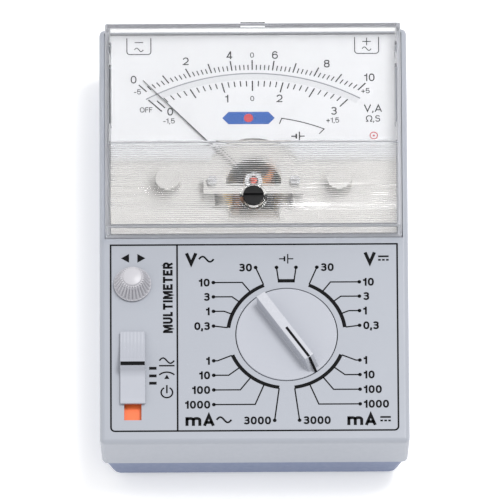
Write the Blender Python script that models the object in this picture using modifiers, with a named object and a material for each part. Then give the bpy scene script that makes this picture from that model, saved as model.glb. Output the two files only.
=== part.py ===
"""Analog multimeter: a two-shell case with a moving-coil movement under a clear cover.

The object lies on its back on four moulded feet. +Z points out of its face, +Y to the end with
the two sockets, +X to the reader's right. Sizes in this file are millimetres.
"""

import math

import bmesh
import bpy
from mathutils import Matrix, Vector

MM = 0.001
GAP = 0.3

# case
HALF_WIDTH = 50.0
HALF_LENGTH = 74.0
FOOT_RADIUS = 4.0
REAR_LOW = 1.5
PARTING = 13.5
PANEL_TOP = 31.0
COVER_TOP = 39.3
FRONT_WALL = 1.5
REAR_WALL = 1.8
COVER_WALL = 1.3
PANEL_UNDER = PANEL_TOP - FRONT_WALL
CASE_SCREWS = [(-26.0, -66.0), (26.0, -66.0), (-20.0, 64.0), (20.0, 64.0)]
FEET = [(-38.0, -60.0), (38.0, -60.0), (-38.0, 60.0), (38.0, 60.0)]

# clear cover
COVER_HALF_WIDTH = 48.0
COVER_NEAR = -1.1
COVER_FAR = 72.0
COVER_LOW = 29.2

# battery compartment
DOOR_LOW = (-22.0, -59.6)
DOOR_HIGH = (32.0, -44.4)
BATTERY_CENTRE = (5.0, -52.0, 10.9)
BATTERY_RADIUS = 7.25
BATTERY_LENGTH = 50.5

# movement
PIVOT = (0.0, 16.2)
POINTER_ANGLE = math.radians(43.5)
POINTER_LENGTH = 51.8
POINTER_LOW = 33.6
POINTER_HIGH = 33.9
YOKE_OUTER = 12.8
YOKE_INNER = 10.2
CORE_RADIUS = 6.8
CORE_LOW = 16.0
CORE_HIGH = 28.0
BRIDGE_LOW = 35.1
BRIDGE_HIGH = 35.8
BRIDGE_SCREW_X = 13.4
ZERO_SCREW = (0.0, 10.1)
ZERO_PIN_OFFSET = 0.8

# controls
KNOB = (10.45, -35.8)
KNOB_RADIUS = 16.3
KNOB_DISC_LOW = 28.6
KNOB_DISC_TOP = 31.2
KNOB_RIDGE_TOP = 36.3
KNOB_HEADING = math.radians(-145.0)
DETENTS = 24
ZERO_KNOB = (-39.3, -17.9)
SLIDER_X = -39.3
SLOT_NEAR = -66.0
SLOT_FAR = -41.0

# sockets and board
SOCKET_X = 36.8
SOCKET_Z = 21.5
SOCKET_END = 73.9
BOARD_LOW = 19.6
BOARD_TOP = 21.2
BOARD_SCREWS = [(-42.0, -6.0), (0.0, -58.0)]
FUSE = (22.0, -9.0, 24.6)

for old in list(bpy.data.objects):
    bpy.data.objects.remove(old, do_unlink=True)

MODEL = bpy.data.collections.new("analog_multimeter")
CUTTERS = bpy.data.collections.new("cutters")
bpy.context.scene.collection.children.link(MODEL)
bpy.context.scene.collection.children.link(CUTTERS)


# ---- building blocks ----

def from_bmesh(name, bm, centre=(0, 0, 0)):
    """An object in the model made from a bmesh, with its origin at a point in millimetres."""
    mesh = bpy.data.meshes.new(name)
    bm.to_mesh(mesh)
    bm.free()
    mesh.shade_smooth()
    mesh.set_sharp_from_angle(angle=math.radians(30))
    obj = bpy.data.objects.new(name, mesh)
    obj.location = Vector(centre) * MM
    MODEL.objects.link(obj)
    return obj


def block(name, low, high):
    """A box between two corners."""
    bm = bmesh.new()
    bmesh.ops.create_cube(bm, size=MM)
    bmesh.ops.scale(bm, vec=[b - a for a, b in zip(low, high)], verts=bm.verts)
    return from_bmesh(name, bm, [(a + b) / 2 for a, b in zip(low, high)])


def rod(name, radius, start, end, end_radius=None, sides=24):
    """A cylinder between two points, or a cone with another radius at its end."""
    axis = Vector(end) - Vector(start)
    bm = bmesh.new()
    bmesh.ops.create_cone(
        bm, cap_ends=True, segments=sides, radius1=radius * MM,
        radius2=(radius if end_radius is None else end_radius) * MM, depth=axis.length * MM)
    obj = from_bmesh(name, bm, (Vector(start) + Vector(end)) / 2)
    obj.rotation_euler = Vector((0, 0, 1)).rotation_difference(axis).to_euler()
    return obj


def upright(name, radius, x, y, low, high, end_radius=None, sides=24):
    """A rod along Z."""
    return rod(name, radius, (x, y, low), (x, y, high), end_radius, sides)


def plate(name, points, thickness):
    """A flat outline in the XY plane, extruded to a thickness about z = 0."""
    curve = bpy.data.curves.new(name, "CURVE")
    curve.dimensions = "2D"
    curve.fill_mode = "BOTH"
    curve.extrude = thickness / 2 * MM
    spline = curve.splines.new("POLY")
    spline.points.add(len(points) - 1)
    for point, (x, y) in zip(spline.points, points):
        point.co = (x * MM, y * MM, 0, 1)
    spline.use_cyclic_u = True
    return curve_to_mesh(name, curve)


def tube(name, points, radius, resolution=1):
    """A wire through points, with closed ends."""
    curve = bpy.data.curves.new(name, "CURVE")
    curve.dimensions = "3D"
    curve.bevel_depth = radius * MM
    curve.bevel_resolution = resolution
    curve.use_fill_caps = True
    spline = curve.splines.new("POLY")
    spline.points.add(len(points) - 1)
    for point, place in zip(spline.points, points):
        point.co = (*(Vector(place) * MM), 1)
    return curve_to_mesh(name, curve)


def curve_to_mesh(name, curve):
    """The solid of a curve as a welded mesh object."""
    holder = bpy.data.objects.new(name + "_curve", curve)
    MODEL.objects.link(holder)
    mesh = evaluated(holder)
    bpy.data.objects.remove(holder)
    bm = bmesh.new()
    bm.from_mesh(mesh)
    bpy.data.meshes.remove(mesh)
    bmesh.ops.remove_doubles(bm, verts=bm.verts, dist=0.01 * MM)
    bmesh.ops.recalc_face_normals(bm, faces=bm.faces)
    return from_bmesh(name, bm)


def evaluated(obj):
    """The mesh of an object with its modifiers, in the object's own space."""
    depsgraph = bpy.context.evaluated_depsgraph_get()
    return bpy.data.meshes.new_from_object(obj.evaluated_get(depsgraph))


def smooth_path(corners, steps=4):
    """Points along a smooth curve through a route's corners."""
    route = [Vector(c) for c in corners]
    padded = [2 * route[0] - route[1], *route, 2 * route[-1] - route[-2]]
    points = []
    for a, b, c, d in zip(padded, padded[1:], padded[2:], padded[3:]):
        for i in range(steps):
            t = i / steps
            points.append(0.5 * (2 * b + (c - a) * t + (2 * a - 5 * b + 4 * c - d) * t ** 2
                                 + (3 * b - a - 3 * c + d) * t ** 3))
    return points + [route[-1]]


def spiral(x, y, z, inner, outer, turns, rise=0.0, steps=12):
    """Points along a flat or rising spiral."""
    count = int(turns * steps)
    points = []
    for i in range(count + 1):
        share = i / count
        radius = inner + (outer - inner) * share
        angle = 2 * math.pi * turns * share
        points.append((x + radius * math.cos(angle), y + radius * math.sin(angle), z + rise * share))
    return points


def boolean(target, tool, operation):
    """One exact Boolean, with its tool kept as a hidden wire."""
    modifier = target.modifiers.new(operation.lower() + "_" + tool.name, "BOOLEAN")
    modifier.operation = operation
    modifier.solver = "EXACT"
    modifier.object = tool
    if tool.name not in CUTTERS.objects:
        MODEL.objects.unlink(tool)
        CUTTERS.objects.link(tool)
    tool.hide_render = True
    tool.display_type = "WIRE"


def cut(target, *tools):
    for tool in tools:
        boolean(target, tool, "DIFFERENCE")
    return target


def join(target, *tools):
    for tool in tools:
        boolean(target, tool, "UNION")
    return target


def round_edges(obj, width, segments=2, angle=40.0):
    """Rounded edges where faces meet at more than an angle in degrees."""
    bevel = obj.modifiers.new("rounding", "BEVEL")
    bevel.width = width * MM
    bevel.segments = segments
    bevel.limit_method = "ANGLE"
    bevel.angle_limit = math.radians(angle)
    return obj


def tapered_block(name, low, high, half_low, half_high, centre_y=0.0, mouth=None):
    """A box with sloping sides about the Z axis, or an open sheet with its mouth at low or high."""
    bm = bmesh.new()
    bmesh.ops.create_cube(bm, size=2.0)
    for vert in bm.verts:
        z, half = (high, half_high) if vert.co.z > 0 else (low, half_low)
        vert.co = Vector((vert.co.x * half[0], vert.co.y * half[1] + centre_y, z)) * MM
    if mouth is not None:
        face = min(bm.faces, key=lambda face: abs(face.calc_center_median().z - mouth * MM))
        bmesh.ops.delete(bm, geom=[face], context="FACES_ONLY")
    return from_bmesh(name, bm)


def thicken(obj, wall):
    """An even wall, inward from the outside faces."""
    solidify = obj.modifiers.new("wall", "SOLIDIFY")
    solidify.thickness = wall * MM
    solidify.offset = -1.0
    solidify.use_even_offset = True
    return obj


def pivot(name, x, y, z, pieces):
    """An empty on a joint's axis that carries the moving pieces."""
    empty = bpy.data.objects.new(name, None)
    empty.location = Vector((x, y, z)) * MM
    MODEL.objects.link(empty)
    bpy.context.view_layer.update()
    for piece in pieces:
        piece.parent = empty
        piece.matrix_parent_inverse = empty.matrix_world.inverted()
    return empty


def finish(obj, colour, roughness, metallic=0.0, alpha=1.0):
    """The object's own material."""
    material = bpy.data.materials.new(obj.name)
    material.use_nodes = True
    shader = material.node_tree.nodes["Principled BSDF"]
    shader.inputs["Base Color"].default_value = (*colour, 1)
    shader.inputs["Roughness"].default_value = roughness
    shader.inputs["Metallic"].default_value = metallic
    shader.inputs["Alpha"].default_value = alpha
    obj.data.materials.clear()
    obj.data.materials.append(material)
    return obj


def plastic(obj, colour, roughness=0.45):
    return finish(obj, colour, roughness)


def metal(obj, colour, roughness=0.35):
    return finish(obj, colour, roughness, 1.0)


GREY = (0.55, 0.58, 0.65)
BLUE_GREY = (0.21, 0.25, 0.37)
PALE = (0.83, 0.84, 0.86)
BLACK = (0.01, 0.01, 0.012)
STEEL = (0.6, 0.6, 0.62)
BRASS = (0.8, 0.6, 0.25)
COPPER = (0.75, 0.35, 0.2)


# ---- case ----

def make_rear_shell():
    top = PARTING + 1
    shell = tapered_block("rear_shell", REAR_LOW, top, (45.4, 71.9), (49.05, 73.05), mouth=top)
    round_edges(shell, 2.2, 3)
    thicken(shell, REAR_WALL)
    cut(shell, block("rear_trim", (-60, -80, PARTING), (60, 80, PARTING + 5)))
    lip = block("lip", (-47.4, -71.4, 11.0), (47.4, 71.4, 15.8))
    cut(lip, block("lip_inside", (-46.2, -70.2, 10.0), (46.2, 70.2, 17.0)))
    join(shell, lip)
    for side in (-1, 1):
        x = side * SOCKET_X
        cut(shell, rod(f"lip_notch_{side:+d}", 7.4, (x, 66, SOCKET_Z), (x, 72, SOCKET_Z), sides=32))
    bay = block("bay", (DOOR_LOW[0] - 2.7, DOOR_LOW[1] - 1.4, 2.6),
                (DOOR_HIGH[0] + 2.7, DOOR_HIGH[1] + 1.4, 12.0))
    cut(bay, block("bay_inside", (DOOR_LOW[0] - 1.5, DOOR_LOW[1] - 0.2, 2.0),
                   (DOOR_HIGH[0] + 1.5, DOOR_HIGH[1] + 0.2, 13.0)))
    join(shell, bay)
    cut(shell, block("door_opening", (*DOOR_LOW, 0), (*DOOR_HIGH, 5.0)))
    for i, (x, y) in enumerate(CASE_SCREWS):
        join(shell, upright(f"rear_boss_{i}", 4.4, x, y, 2.5, 12.5))
        cut(shell, upright(f"rear_counterbore_{i}", 2.9, x, y, 0, 4.5),
            upright(f"rear_hole_{i}", 1.6, x, y, 3.0, 14.0, sides=16))
    for i, (x, y) in enumerate(FEET):
        join(shell, upright(f"foot_{i}", FOOT_RADIUS, x, y, 0, REAR_LOW + 1, sides=32))
    return plastic(shell, BLUE_GREY)


def make_cover_seat():
    """The ledge around the window that the clear cover's walls stand on."""
    low, high = COVER_LOW - GAP - 1.0, PANEL_UNDER + 0.3
    seat = block("cover_seat", (-49.0, COVER_NEAR - 2.5, low), (49.0, 73.0, high))
    cut(seat, block("seat_inside", (-46.0, 0.5, low - 1), (46.0, 70.2, high + 1)))
    for x in (-SOCKET_X, SOCKET_X):
        cut(seat, rod(f"seat_notch_{x:+.0f}", 7.4, (x, 62, SOCKET_Z), (x, 76, SOCKET_Z), sides=32))
    return seat


def make_front_shell():
    low = PARTING - 4
    half_low = (HALF_WIDTH - 0.8, HALF_LENGTH - 0.8)
    shell = tapered_block("front_shell", low, PANEL_TOP, half_low, (HALF_WIDTH, HALF_LENGTH))
    round_edges(shell, 1.8, 4)
    cut(shell, tapered_block("front_inside", low - 1, PANEL_UNDER, [h - FRONT_WALL for h in half_low],
                             (HALF_WIDTH - FRONT_WALL, HALF_LENGTH - FRONT_WALL)),
        block("front_trim", (-60, -80, 0), (60, 80, PARTING + GAP)))
    for i, (x, y) in enumerate(CASE_SCREWS):
        at_far_end = y > 0
        top = 27.0 if at_far_end else PANEL_UNDER + 0.5
        join(shell, upright(f"front_boss_{i}", 3.5, x, y, 12.8, top))
        if at_far_end:
            join(shell, block(f"boss_rib_{i}", (x - 1, y + 1, 16.3), (x + 1, 72.9, 26.5)))
        cut(shell, upright(f"front_pilot_{i}", 1.5, x, y, 12.0, 20.6, sides=16))
    for i, (x, y) in enumerate(BOARD_SCREWS):
        join(shell, upright(f"pillar_{i}", 2.6, x, y, BOARD_TOP + GAP, PANEL_UNDER + 0.5, sides=16))
        cut(shell, upright(f"pillar_hole_{i}", 1.2, x, y, BOARD_TOP, 27.0, sides=12))
    join(shell, make_cover_seat())
    seat_top = COVER_LOW - GAP
    cut(shell, block("window", (-48.3, COVER_NEAR - GAP, seat_top), (48.3, COVER_FAR + GAP, 35)),
        upright("knob_hole", KNOB_RADIUS + GAP, *KNOB, 25, 35, sides=64),
        upright("zero_knob_hole", 3.3, *ZERO_KNOB, 25, 35),
        block("slider_slot", (SLIDER_X - 2.8, SLOT_NEAR, 25), (SLIDER_X + 2.8, SLOT_FAR, 35)))
    for x in (-SOCKET_X, SOCKET_X):
        cut(shell, rod(f"socket_hole_{x:+.0f}", 6.3, (x, 68, SOCKET_Z), (x, 80, SOCKET_Z), sides=32))
    return plastic(shell, GREY)


def make_clear_cover():
    centre_y = (COVER_NEAR + COVER_FAR) / 2
    half = (COVER_HALF_WIDTH, (COVER_FAR - COVER_NEAR) / 2)
    cover = tapered_block("clear_cover", COVER_LOW, COVER_TOP, half, half, centre_y, mouth=COVER_LOW)
    thicken(cover, COVER_WALL)
    round_edges(cover, 0.5, 2)
    join(cover, upright("zero_screw_boss", 4.5, *ZERO_SCREW, 36.9, COVER_TOP - 0.4, sides=32),
         block("catch", (-4, COVER_FAR - 0.5, 33.0), (4, COVER_FAR + 0.6, 38.6)))
    cut(cover, upright("zero_screw_hole", 3.7, *ZERO_SCREW, 36, 41, sides=32))
    return finish(cover, (0.9, 0.92, 0.94), 0.1, alpha=0.3)


def make_battery_cover():
    cover = block("battery_cover", (DOOR_LOW[0] + GAP, DOOR_LOW[1] + GAP, REAR_LOW),
                  (DOOR_HIGH[0] - GAP, DOOR_HIGH[1] - GAP, REAR_LOW + 1.5))
    cut(cover, block("finger_notch", (-18.6, -54.5, 1.0), (-17.0, -49.5, 2.1)))
    pivot("battery_cover_travel", 5, -52, REAR_LOW, [cover])
    return plastic(cover, BLUE_GREY)


def make_fasteners():
    for i, (x, y) in enumerate(CASE_SCREWS, 1):
        screw = upright(f"case_screw_{i}", 2.6, x, y, 2.2, 4.2, sides=20)
        metal(join(screw, upright(f"case_shank_{i}", 1.2, x, y, 4.0, 20.0, sides=12)), STEEL)
    for i, (x, y) in enumerate(BOARD_SCREWS, 1):
        screw = upright(f"board_screw_{i}", 2.2, x, y, 17.7, BOARD_LOW - GAP, sides=16)
        metal(join(screw, upright(f"board_shank_{i}", 0.9, x, y, 19.0, 25.5, sides=12)), STEEL)


# ---- movement ----

def make_dial():
    carrier = block("meter_carrier", (-46.3, 0.6, 30.6), (46.3, 70.3, 32.2))
    cut(carrier, upright("carrier_hole", 9.2, *PIVOT, 30, 33, sides=48),
        block("carrier_window", (-12.6, 9.0, 30), (12.6, 14.0, 33)),
        block("terminal_window", (-8.3, 4.8, 30), (8.3, 9.5, 33)))
    for x in (-27.8, 27.8):
        join(carrier, upright(f"dial_post_{x:+.0f}", 4.1, x, 17.0, 31.5, 37.2))
    plastic(carrier, PALE, 0.5)
    dial = block("dial_plate", (-46.2, 25.3, 32.5), (46.2, 70.2, 33.1))
    cut(dial, upright("dial_cutout", 17.0, *PIVOT, 32, 34, sides=48))
    plastic(dial, (0.85, 0.86, 0.9), 0.5)


def make_magnet():
    yoke = upright("magnet_yoke", YOKE_OUTER, *PIVOT, 14.5, 29.5, sides=48)
    cut(yoke, upright("yoke_bore", YOKE_INNER, *PIVOT, 13, 31, sides=48))
    metal(yoke, STEEL, 0.5)
    metal(upright("core_magnet", CORE_RADIUS, *PIVOT, CORE_LOW, CORE_HIGH, sides=32), STEEL, 0.3)
    x, y = PIVOT
    metal(block("core_bracket", (x - 1.5, y - 9.8, 20.0), (x + 1.5, y - 7.1, 24.0)), BRASS, 0.4)


def make_bridges():
    x, y = PIVOT
    top = block("top_bridge", (x - 16.2, y - 4.4, BRIDGE_LOW), (x + 16.2, y + 2.6, BRIDGE_HIGH))
    for side in (-1, 1):
        leg = block(f"bridge_leg_{side:+d}", (x + side * 13.4 - 2.6, y - 2.3, 32.5),
                    (x + side * 13.4 + 2.6, y + 2.3, BRIDGE_LOW + 0.3))
        join(top, leg)
        near, far = sorted((x + side * 2.4, x + side * 9.0))
        cut(top, upright(f"bridge_hole_{side:+d}", 1.1, x + side * BRIDGE_SCREW_X, y, 32, 37, sides=12),
            block(f"bridge_window_{side:+d}", (near, y - 1.0, 34), (far, y + 3, 37)))
    cut(top, upright("jewel_hole", 1.5, x, y, 34, 37, sides=16))
    plastic(top, PALE, 0.5)

    bottom = block("bottom_bridge", (x - 12.0, y - 3.0, 12.0), (x + 12.0, y + 3.0, 13.2))
    for side in (-1, 1):
        join(bottom, block(f"bottom_leg_{side:+d}", (x + side * 11.4 - 0.6, y - 3.0, 12.5),
                           (x + side * 11.4 + 0.6, y + 3.0, 14.2)))
    cut(bottom, upright("lower_jewel_hole", 1.5, x, y, 11, 14, sides=16))
    metal(bottom, BRASS, 0.4)

    for i, side in enumerate((-1, 1), 1):
        place = (x + side * BRIDGE_SCREW_X, y)
        screw = upright(f"bridge_screw_{i}", 1.7, *place, BRIDGE_HIGH + GAP, 37.1, sides=20)
        join(screw, upright(f"bridge_shank_{i}", 0.8, *place, 33.0, 36.5, sides=12))
        cut(screw, block(f"bridge_slot_{i}", (place[0] - 2, y - 0.25, 36.7), (place[0] + 2, y + 0.25, 38)))
        metal(screw, STEEL, 0.3)

    upper = upright("upper_jewel_screw", 1.2, x, y, 35.2, 36.9, sides=20)
    cut(upper, block("jewel_slot", (x - 2, y - 0.2, 36.5), (x + 2, y + 0.2, 38)))
    metal(upper, (0.6, 0.12, 0.1), 0.3)
    metal(upright("lower_jewel_screw", 1.2, x, y, 10.8, 13.0, sides=20), BRASS, 0.3)


def turned_about_pivot(obj, angle):
    """Turns an object that was built about the pivot's axis with its front along +Y."""
    axis = Vector((*PIVOT, 0)) * MM
    obj.location = axis + Matrix.Rotation(angle, 3, "Z") @ (obj.location - axis)
    obj.rotation_euler.z += angle
    return obj


def tapered_bar(name, half_start, half_end, start, end):
    """A flat bar along +Y at the pointer's height, narrower at its far end."""
    bar = block(name, (-1, start, POINTER_LOW), (1, end, POINTER_HIGH))
    for vert in bar.data.vertices:
        vert.co.x *= half_end if vert.co.y > 0 else half_start
    return bar


def make_moving_coil():
    x, y = PIVOT
    coil = block("moving_coil", (x - 8.8, y - 1.2, 14.6), (x + 8.8, y + 1.2, 29.4))
    coil_window = block("coil_window", (x - 7.4, y - 2.0, 15.6), (x + 7.4, y + 2.0, 28.4))
    cut(coil, coil_window)
    # the coil lies across the pointer only at mid-scale, so it is turned with the pointer
    for obj in (coil, coil_window):
        turned_about_pivot(obj, POINTER_ANGLE)
    metal(coil, COPPER, 0.4)

    spindles = [metal(upright("upper_spindle", 0.5, x, y, 29.7, 34.9, sides=12), STEEL, 0.2),
                metal(upright("lower_spindle", 0.5, x, y, 13.4, 14.3, sides=12), STEEL, 0.2)]

    middle = (POINTER_LOW + POINTER_HIGH) / 2
    hub = upright("pointer", 2.2, x, y, 33.0, POINTER_HIGH, sides=20)
    bars = [tapered_bar("pointer_arm", 0.24, 0.13, y, y + POINTER_LENGTH),
            block("pointer_tail", (x - 0.5, y - 7.0, POINTER_LOW), (x + 0.5, y, POINTER_HIGH)),
            block("pointer_cross", (x - 4.5, y - 0.4, POINTER_LOW), (x + 4.5, y + 0.4, POINTER_HIGH)),
            rod("tail_weight", 0.7, (x, y - 9.0, middle), (x, y - 6.5, middle), sides=12),
            rod("left_weight", 0.6, (x - 6.2, y, middle), (x - 4.0, y, middle), sides=12),
            rod("right_weight", 0.6, (x + 4.0, y, middle), (x + 6.2, y, middle), sides=12)]
    join(hub, *[turned_about_pivot(bar, POINTER_ANGLE) for bar in bars])
    cut(hub, upright("pointer_bore", 0.8, x, y, 32, 35, sides=12))
    plastic(hub, BLACK, 0.5)
    pivot("pointer_axis", x, y, POINTER_LOW, [coil, *spindles, hub])

    for name, z in (("upper_hairspring", 34.55), ("lower_hairspring", 13.85)):
        metal(tube(name, spiral(x, y, z, 1.1, 3.6, 3), 0.13, 0), BRASS, 0.3)


def make_zero_adjuster():
    x, y = ZERO_SCREW
    screw = upright("zero_screw", 3.4, x, y, 37.5, 39.6, sides=32)
    pin_y = y + ZERO_PIN_OFFSET
    join(screw, upright("zero_pin", 0.6, x, pin_y, 35.9, 38.0, sides=12))
    cut(screw, block("zero_slot", (x - 4, y - 0.5, 38.6), (x + 4, y + 0.5, 40)))
    plastic(screw, BLACK, 0.35)
    pivot("zero_screw_axis", x, y, 37.5, [screw])

    x, y = PIVOT
    lever = upright("zero_lever", 2.9, x, y, 36.1, 36.6, sides=24)
    join(lever, block("lever_arm", (x - 1.3, pin_y - 1.3, 36.1), (x + 1.3, y - 2, 36.6)))
    cut(lever, upright("lever_bore", 1.55, x, y, 35, 38, sides=16),
        block("lever_fork", (x - 0.78, pin_y - 2.0, 35), (x + 0.78, pin_y + 1.2, 38)))
    metal(lever, STEEL, 0.35)
    pivot("zero_lever_axis", x, y, 36.1, [lever])


def make_meter_terminals():
    plastic(block("meter_terminals", (-7.9, 5.1, 29.8), (7.9, 7.9, 31.4)), (0.3, 0.26, 0.2))


# ---- controls ----

def make_knob_ridge():
    """The grip across the knob: steep at its tail, sloping down to the rim at its pointing end."""
    tail, nose, half_width = -14.2, 16.0, 1.9
    ridge = block("knob_ridge", (tail, -half_width, KNOB_DISC_TOP - 1), (nose, half_width, KNOB_RIDGE_TOP))
    for vert in ridge.data.vertices:
        if vert.co.z > 0:
            vert.co.y *= 0.88
            vert.co.x += (-4.0 if vert.co.x > 0 else 0.7) * MM
    heading = KNOB_HEADING + math.pi / 2
    middle = Matrix.Rotation(heading, 3, "Z") @ Vector(((tail + nose) / 2 * MM, 0, 0))
    ridge.location = Vector((KNOB[0] * MM, KNOB[1] * MM, ridge.location.z)) + middle
    ridge.rotation_euler.z = heading
    return ridge


def make_range_knob():
    x, y = KNOB
    knob = upright("range_knob", KNOB_RADIUS, x, y, KNOB_DISC_LOW, KNOB_DISC_TOP, sides=64)
    join(knob, upright("knob_hub", 5.0, x, y, 24.5, KNOB_DISC_LOW + 0.5))
    join(knob, make_knob_ridge())
    plastic(knob, (0.6, 0.62, 0.68), 0.4)

    rotor = upright("range_rotor", 14.0, x, y, 22.6, 24.2, sides=48)
    plastic(rotor, PALE)
    wipers = upright("wiper_contacts", 10.0, x, y, 22.0, 22.3, sides=36)
    cut(wipers, upright("wiper_bore", 8.0, x, y, 21, 23, sides=36))
    for i, angle in enumerate((0.4, 2.4, 4.5)):
        fx, fy = x + 10.5 * math.cos(angle), y + 10.5 * math.sin(angle)
        join(wipers, upright(f"finger_{i}", 1.5, fx, fy, 22.0, 22.3, sides=16))
    metal(wipers, BRASS)

    star = upright("detent_ring", 9.2, x, y, 25.2, 27.8, sides=4 * DETENTS)
    for vert in star.data.vertices:
        angle = math.atan2(vert.co.y, vert.co.x)
        stretch = 1 + 0.035 * math.cos(DETENTS * angle)
        vert.co.x *= stretch
        vert.co.y *= stretch
    cut(star, upright("detent_bore", 5.3, x, y, 24, 29))
    plastic(star, PALE)
    pivot("range_knob_axis", x, y, KNOB_DISC_LOW, [knob, rotor, wipers, star])

    tracks = upright("contact_tracks", 13.0, x, y, 21.5, 21.7, sides=36)
    for i, radius in enumerate((11.0, 8.0)):
        groove = upright(f"track_groove_{i}", radius, x, y, 21, 22, sides=36)
        cut(groove, upright(f"track_core_{i}", radius - 0.8, x, y, 20, 23, sides=36),
            block(f"track_bridge_{i}", (x - 0.8, y, 20), (x + 0.8, y + 15, 23)))
        cut(tracks, groove)
    cut(tracks, upright("track_bore", 5.4, x, y, 21, 22, sides=36))
    metal(tracks, BRASS)

    spring = block("detent_spring", (x + 9.9, y - 7.0, 25.6), (x + 10.3, y + 7.0, 27.4))
    join(spring, block("spring_foot", (x + 9.9, y - 8.2, 24.7), (x + 12.4, y - 6.8, 27.4)))
    metal(spring, STEEL)


def make_zero_knob():
    x, y = ZERO_KNOB
    knob = upright("zero_knob", 6.05, x, y, PANEL_TOP + 0.4, 37.0, end_radius=3.5, sides=40)
    join(knob, upright("zero_knob_top", 3.1, x, y, 36.0, 37.7))
    plastic(knob, (0.62, 0.64, 0.7), 0.4)
    shaft = plastic(upright("zero_pot_shaft", 3.0, x, y, 29.0, PANEL_TOP + 0.1), PALE)
    pivot("zero_knob_axis", x, y, PANEL_TOP, [knob, shaft])
    plastic(block("zero_pot_body", (x - 5, y - 5, BOARD_TOP + GAP), (x + 5, y + 5, 28.7)), BLACK)


def make_power_slider():
    low, high = -60.5, -35.0
    ridge_at = -48.0
    steps = 16
    crest = []
    for i in range(steps + 1):
        y = high + (low - high) * i / steps
        crest.append((y, 32.2 + 2.7 * math.exp(-((y - ridge_at) / 3.6) ** 2)))
    cap = plate("slider_cap", [(low, 31.3), (high, 31.3), *crest], 8.1)
    # the outline lies in the XY plane: stand it up so that it runs along Y and is as wide as X
    cap.rotation_euler = (math.pi / 2, 0, math.pi / 2)
    cap.location.x = SLIDER_X * MM
    join(cap, block("slider_stem", (SLIDER_X - 1.5, -51.0, 27.0), (SLIDER_X + 1.5, -45.0, 31.6)))
    pivot("power_slider_travel", SLIDER_X, ridge_at, PANEL_TOP, [cap])
    plastic(cap, (0.6, 0.62, 0.68), 0.4)
    plastic(block("slide_switch_body", (SLIDER_X - 4.2, -57.5, BOARD_TOP + GAP),
                  (SLIDER_X + 4.2, -43.0, 26.0)), BLACK)
    plastic(block("on_indicator", (SLIDER_X - 3.6, -68.4, 28.4), (SLIDER_X + 3.6, -57.2, 29.1)),
            (0.9, 0.2, 0.07))


# ---- electronics ----

def make_board():
    board = block("circuit_board", (-45, -61.8, BOARD_LOW), (45, -3, BOARD_TOP))
    for i, (x, y) in enumerate(BOARD_SCREWS):
        cut(board, upright(f"board_hole_{i}", 1.3, x, y, 18, 23, sides=12))
    plastic(board, (0.05, 0.25, 0.12))

    network = block("resistor_network", (32.0, -48.0, 22.4), (34.2, -22.0, 27.0))
    for i in range(9):
        pin_y = -46.0 + 2.75 * i
        join(network, block(f"network_pin_{i}", (32.8, pin_y - 0.25, BOARD_TOP + GAP),
                            (33.4, pin_y + 0.25, 22.8)))
    plastic(network, (0.5, 0.3, 0.05))

    trimmer = block("trimmer", (-22.2, -57.4, BOARD_TOP + GAP), (-15.8, -51.0, 25.0))
    join(trimmer, upright("trimmer_dial", 2.2, -19.0, -54.2, 24.5, 26.0, sides=16))
    cut(trimmer, block("trimmer_slot", (-22, -54.5, 25.4), (-16, -53.9, 27)))
    plastic(trimmer, (0.1, 0.2, 0.5))

    chip = block("amplifier_chip", (-20, -34, 22.0), (-10, -27.6, 25.2))
    for i in range(8):
        pin_x = -18.8 + 2.54 * (i % 4)
        for_side = -1 if i < 4 else 1
        pin_y = -30.8 + for_side * 3.6
        join(chip, block(f"chip_pin_{i}", (pin_x - 0.25, pin_y - 0.6, BOARD_TOP + GAP),
                         (pin_x + 0.25, pin_y + 0.6, 23)))
    plastic(chip, BLACK)
    plastic(upright("capacitor", 2.5, -21.0, -13.0, BOARD_TOP + GAP, 28.5), (0.1, 0.12, 0.3))

    x, y, z = FUSE
    body = rod("fuse", 2.4, (x - 10, y, z), (x + 10, y, z))
    for side in (-1, 1):
        join(body, rod(f"fuse_cap_{side:+d}", 2.6, (x + side * 4.8, y, z), (x + side * 10.1, y, z)))
    finish(body, (0.8, 0.82, 0.82), 0.1)
    holder = block("fuse_holder", (x - 9.2, y - 3.5, BOARD_TOP + GAP), (x + 9.2, y + 3.5, 26.0))
    cut(holder, rod("holder_bore", 2.95, (x - 12, y, z), (x + 12, y, z)),
        block("holder_mouth", (x - 12, y - 1.8, z), (x + 12, y + 1.8, 28)),
        block("holder_gap", (x - 6.0, y - 5, 22.1), (x + 6.0, y + 5, 28)))
    metal(holder, BRASS)


def make_sockets():
    z = SOCKET_Z
    for sign, side in (("minus", -1), ("plus", 1)):
        x = side * SOCKET_X
        sleeve = rod(f"{sign}_socket", 6.0, (x, SOCKET_END, z), (x, 50, z), sides=32)
        join(sleeve, rod(f"{sign}_flange", 7.0, (x, 71.6, z), (x, 70.0, z), sides=32))
        cut(sleeve, rod(f"{sign}_shroud", 4.35, (x, 75, z), (x, 54, z), sides=32),
            rod(f"{sign}_throat", 3.3, (x, 56, z), (x, 48, z), sides=24))
        plastic(sleeve, BLACK)
        contact = rod(f"{sign}_contact", 3.0, (x, 69, z), (x, 46, z))
        cut(contact, rod(f"{sign}_contact_bore", 2.0, (x, 70, z), (x, 48, z)))
        metal(contact, BRASS)


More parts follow.
